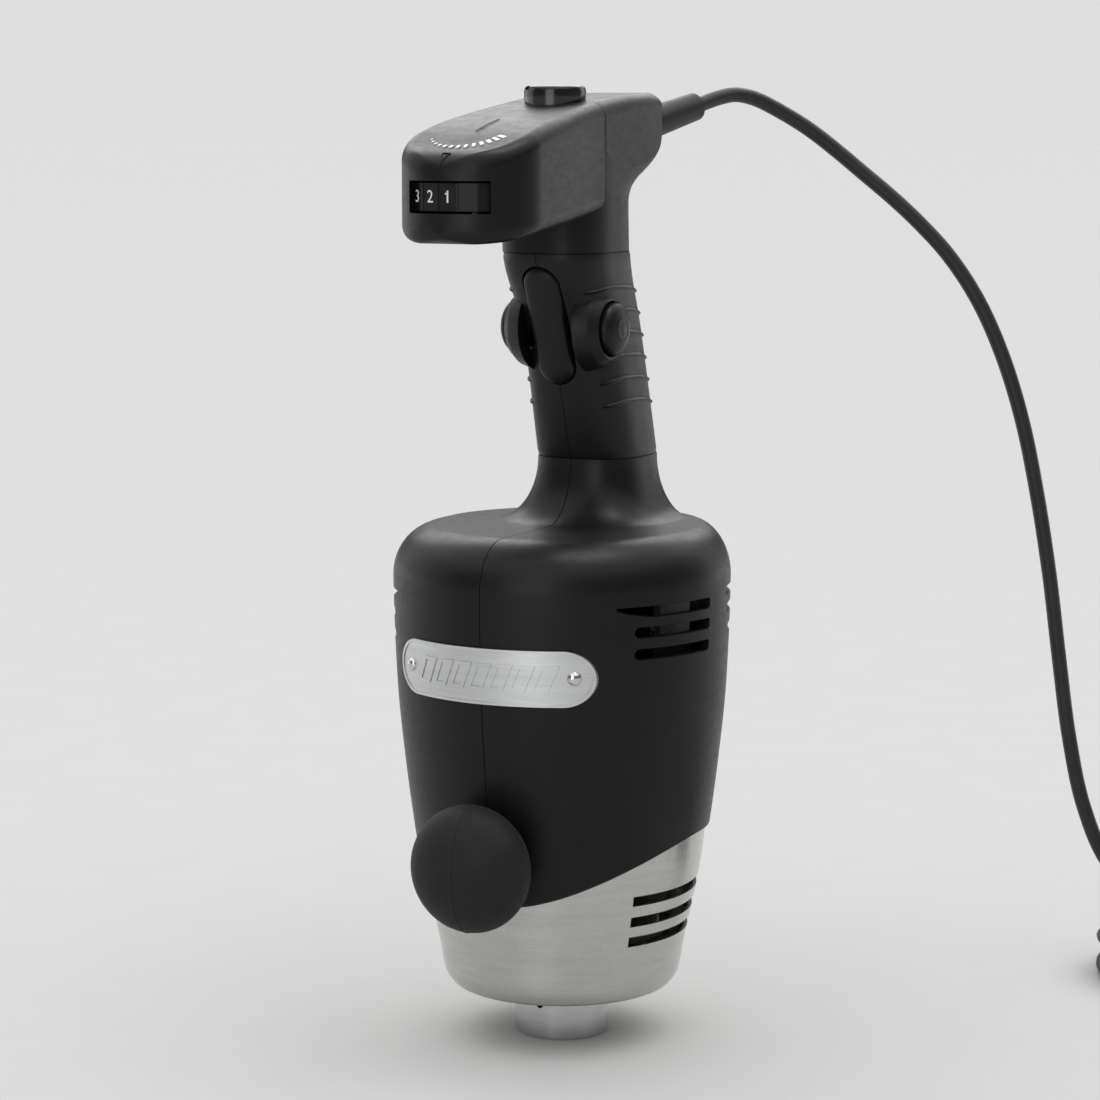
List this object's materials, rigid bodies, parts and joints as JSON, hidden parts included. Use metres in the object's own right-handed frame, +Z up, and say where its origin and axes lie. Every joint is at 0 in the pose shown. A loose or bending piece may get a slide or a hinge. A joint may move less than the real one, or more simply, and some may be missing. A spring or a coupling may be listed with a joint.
{
  "type": "immersion blender motor unit",
  "caption": "Hand-held immersion blender motor unit: round motor housing on a vented steel skirt and drive collar, leaning trigger grip, speed wheel head, round front knob and mains lead.",
  "frame": {"origin": "middle of the bounding box at the collar's bottom face, on which the unit stands; the drive axis is vertical at y = 14.5 mm", "axes": "+Z up along the drive axis, -Y to the front where the speed wheel and the front knob are, X across the plane of symmetry"},
  "size_m": [0.374, 0.3437, 0.381],
  "materials": {
    "satin_black": "soft-touch satin black",
    "grip_black": "fine matt overmould",
    "knob_rubber": "matt rubber",
    "gloss_black": "polished",
    "cord_rubber": "dull rubber",
    "brushed_steel": "brushed up and down",
    "turned_aluminium": "turned and polished",
    "cast_aluminium": "die cast",
    "brushed_plate": "brushed along its length",
    "amber_cap": "translucent amber",
    "signal_red": "moulded red",
    "steel": "ground",
    "lamination": "oiled laminations",
    "copper": "enamelled copper",
    "brass": "satin",
    "carbon": "sintered carbon",
    "circuit_board": "green solder mask",
    "fan_nylon": "moulded nylon",
    "dark_plastic": "moulded"
  },
  "bodies": {
    "unit": {"housing_left": "satin_black", "housing_right": "satin_black", "knob_stem": "satin_black", "head_rear_shell": "satin_black", "head_front_cover": "satin_black", "grip_left": "grip_black", "grip_right": "grip_black", "front_knob": "knob_rubber", "button_bezel": "gloss_black", "strain_relief": "cord_rubber", "cord_run": "cord_rubber", "cord_coil": "cord_rubber", "cord_tail": "cord_rubber", "plug_body": "cord_rubber", "shaft_seal": "cord_rubber", "lower_skirt": "brushed_steel", "coupling_collar": "turned_aluminium", "locating_lug": "turned_aluminium", "rivet_left": "turned_aluminium", "rivet_right": "turned_aluminium", "motor_frame": "cast_aluminium", "upper_bracket": "cast_aluminium", "lower_bracket": "cast_aluminium", "nameplate": "brushed_plate", "upper_bearing": "steel", "lower_bearing": "steel", "trigger_pin": "steel", "trigger_spring": "steel", "side_button_spring_left": "steel", "side_button_spring_right": "steel", "top_button_spring": "steel", "stator_core": "lamination", "field_coil_left": "copper", "field_coil_right": "copper", "brush_holder_left": "brass", "brush_holder_right": "brass", "plug_blade_left": "brass", "plug_blade_right": "brass", "plug_earth_pin": "brass", "brush_left": "carbon", "brush_right": "carbon", "control_board": "circuit_board", "trigger_switch": "dark_plastic", "side_switch": "dark_plastic", "top_switch": "dark_plastic", "potentiometer": "dark_plastic", "cord_tie": "dark_plastic"},
    "rotor": {"rotor_shaft": "steel", "rotor_core": "lamination", "commutator": "copper", "cooling_fan": "fan_nylon", "drive_coupling": "steel"},
    "speed_wheel": {"speed_wheel": "satin_black", "wheel_spindle": "steel"},
    "trigger": {"trigger": "satin_black"},
    "side_button_left": {"side_button_left": "satin_black"},
    "side_button_right": {"side_button_right": "satin_black"},
    "top_button": {"top_button": "signal_red", "button_cap": "amber_cap"}
  },
  "joints": [
    {"name": "motor_spin", "type": "hinge", "parent": "unit", "child": "rotor", "pos_m": [0, 0.0145, 0.1], "axis": [0, 0, 1], "continuous": true},
    {"name": "speed_wheel_turn", "type": "hinge", "parent": "unit", "child": "speed_wheel", "pos_m": [0, -0.0545, 0.3396], "axis": [0, 0, 1], "range_deg": [0, 144]},
    {"name": "trigger_pull", "type": "hinge", "parent": "unit", "child": "trigger", "pos_m": [0, 0.0059, 0.3065], "axis": [1, 0, 0], "range_deg": [0, 4], "stiffness_Nm_per_rad": 2, "springref_deg": -4.58, "deforming": ["trigger_spring"]},
    {"name": "side_button_left_press", "type": "slide", "parent": "unit", "child": "side_button_left", "axis": [1, 0, 0], "range_m": [0, 0.0028], "stiffness_N_per_m": 800, "springref_m": -0.002, "deforming": ["side_button_spring_left"]},
    {"name": "side_button_right_press", "type": "slide", "parent": "unit", "child": "side_button_right", "axis": [-1, 0, 0], "range_m": [0, 0.0028], "stiffness_N_per_m": 800, "springref_m": -0.002, "deforming": ["side_button_spring_right"]},
    {"name": "top_button_press", "type": "slide", "parent": "unit", "child": "top_button", "axis": [0, 0, -1], "range_m": [0, 0.002], "stiffness_N_per_m": 1200, "springref_m": -0.001, "deforming": ["top_button_spring"]}
  ]
}
